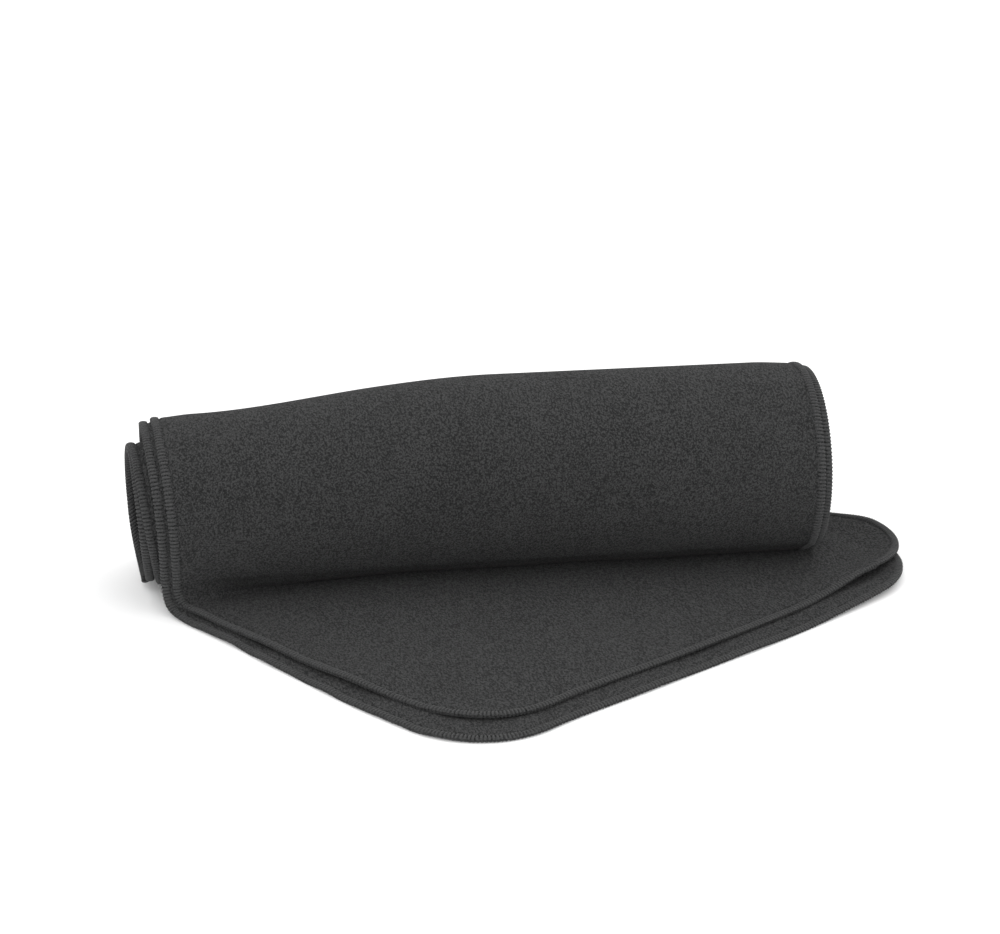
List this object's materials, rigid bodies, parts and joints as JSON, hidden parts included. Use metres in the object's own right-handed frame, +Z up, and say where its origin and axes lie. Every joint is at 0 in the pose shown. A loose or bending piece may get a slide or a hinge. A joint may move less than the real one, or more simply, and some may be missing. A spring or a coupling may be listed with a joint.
{
  "type": "throw blanket",
  "caption": "Charcoal fleece throw blanket with overlocked edges, doubled and loosely rolled, with its rounded loose end spread out in front and free to lift.",
  "frame": {"origin": "middle of the bounding box's bottom face, on the surface that the blanket lies on", "axes": "+X along the roll towards its fatter end, -Y towards the loose end, +Z up"},
  "size_m": [0.7944, 0.5614, 0.2057],
  "materials": {
    "fleece": "matt pebbled anti-pill fleece",
    "overlock_thread": "matt textured polyester thread"
  },
  "bodies": {
    "rolled_blanket": {"fleece_panel_roll": "fleece", "fleece_lower_ply_loose_end": "fleece", "fleece_lower_ply_turned_under": "fleece", "fleece_upper_ply_turned_under": "fleece", "fleece_upper_ply_under_roll": "fleece", "overlock_edge_roll_left": "overlock_thread", "overlock_edge_roll_right": "overlock_thread", "overlock_edge_lower_ply": "overlock_thread", "overlock_edge_upper_ply_left": "overlock_thread", "overlock_edge_upper_ply_right": "overlock_thread"},
    "upper_loose_end": {"fleece_upper_ply_lifting_end": "fleece", "overlock_edge_upper_ply_front": "overlock_thread"}
  },
  "joints": [
    {"name": "upper_ply_lift", "type": "hinge", "parent": "rolled_blanket", "child": "upper_loose_end", "pos_m": [-0.02938, 0.03535, 0.0066], "axis": [-1, 0, 0], "range_deg": [0, 75]}
  ]
}
